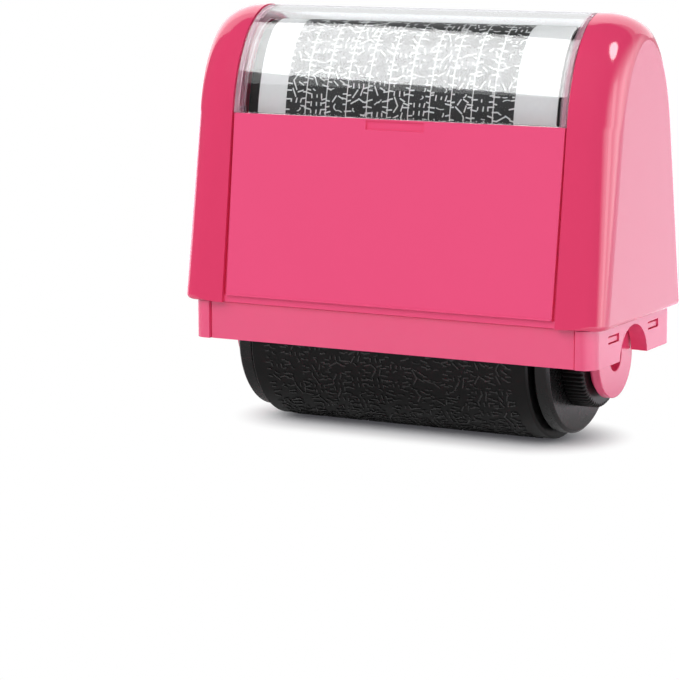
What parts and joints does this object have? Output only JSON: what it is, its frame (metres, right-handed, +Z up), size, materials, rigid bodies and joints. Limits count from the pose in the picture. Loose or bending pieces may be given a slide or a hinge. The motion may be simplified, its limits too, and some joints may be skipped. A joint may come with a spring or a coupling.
{
  "type": "privacy roller stamp",
  "caption": "Hand-held privacy roller stamp: moulded hood with a clear label window over a refillable porous roller that prints a masking pattern.",
  "frame": {"origin": "on the paper that the stamp prints on, midway under the roller", "axes": "+X along the roller's axis towards the right end, +Y from the front panel to the rear panel, +Z up"},
  "size_m": [0.07, 0.0308, 0.0633],
  "materials": {
    "pink_plastic": "moulded pink plastic, glossy",
    "clear_plastic": "clear moulded plastic, polished",
    "black_plastic": "moulded black plastic, satin",
    "porous_rubber": "microporous rubber charged with black ink, satin",
    "seal_rubber": "soft sealing rubber, dull",
    "inked_felt": "felt soaked with black ink",
    "label_paper": "white printed paper"
  },
  "bodies": {
    "housing": {"hood_shell": "pink_plastic", "label_carrier": "black_plastic", "label_sheet": "label_paper", "skirt_frame": "pink_plastic", "left_side_bracket": "pink_plastic", "right_side_bracket": "pink_plastic"},
    "cover": {"window_cover": "clear_plastic"},
    "roller": {"print_sleeve": "porous_rubber", "feed_layer": "inked_felt", "roller_core": "black_plastic", "ink_felt": "inked_felt", "left_end_flange": "black_plastic", "right_end_flange": "black_plastic", "left_flange_seal": "seal_rubber", "right_flange_seal": "seal_rubber", "left_hub_seal": "seal_rubber", "right_hub_seal": "seal_rubber", "left_thumb_wheel": "black_plastic", "right_thumb_wheel": "black_plastic", "left_refill_septum": "seal_rubber", "right_refill_septum": "seal_rubber"}
  },
  "joints": [
    {"name": "roller_spin", "type": "hinge", "parent": "housing", "child": "roller", "pos_m": [0, 0, 0.013], "axis": [1, 0, 0], "continuous": true},
    {"name": "cover_lift", "type": "slide", "parent": "housing", "child": "cover", "axis": [0, 0, 1], "range_m": [0, 0.018]}
  ]
}
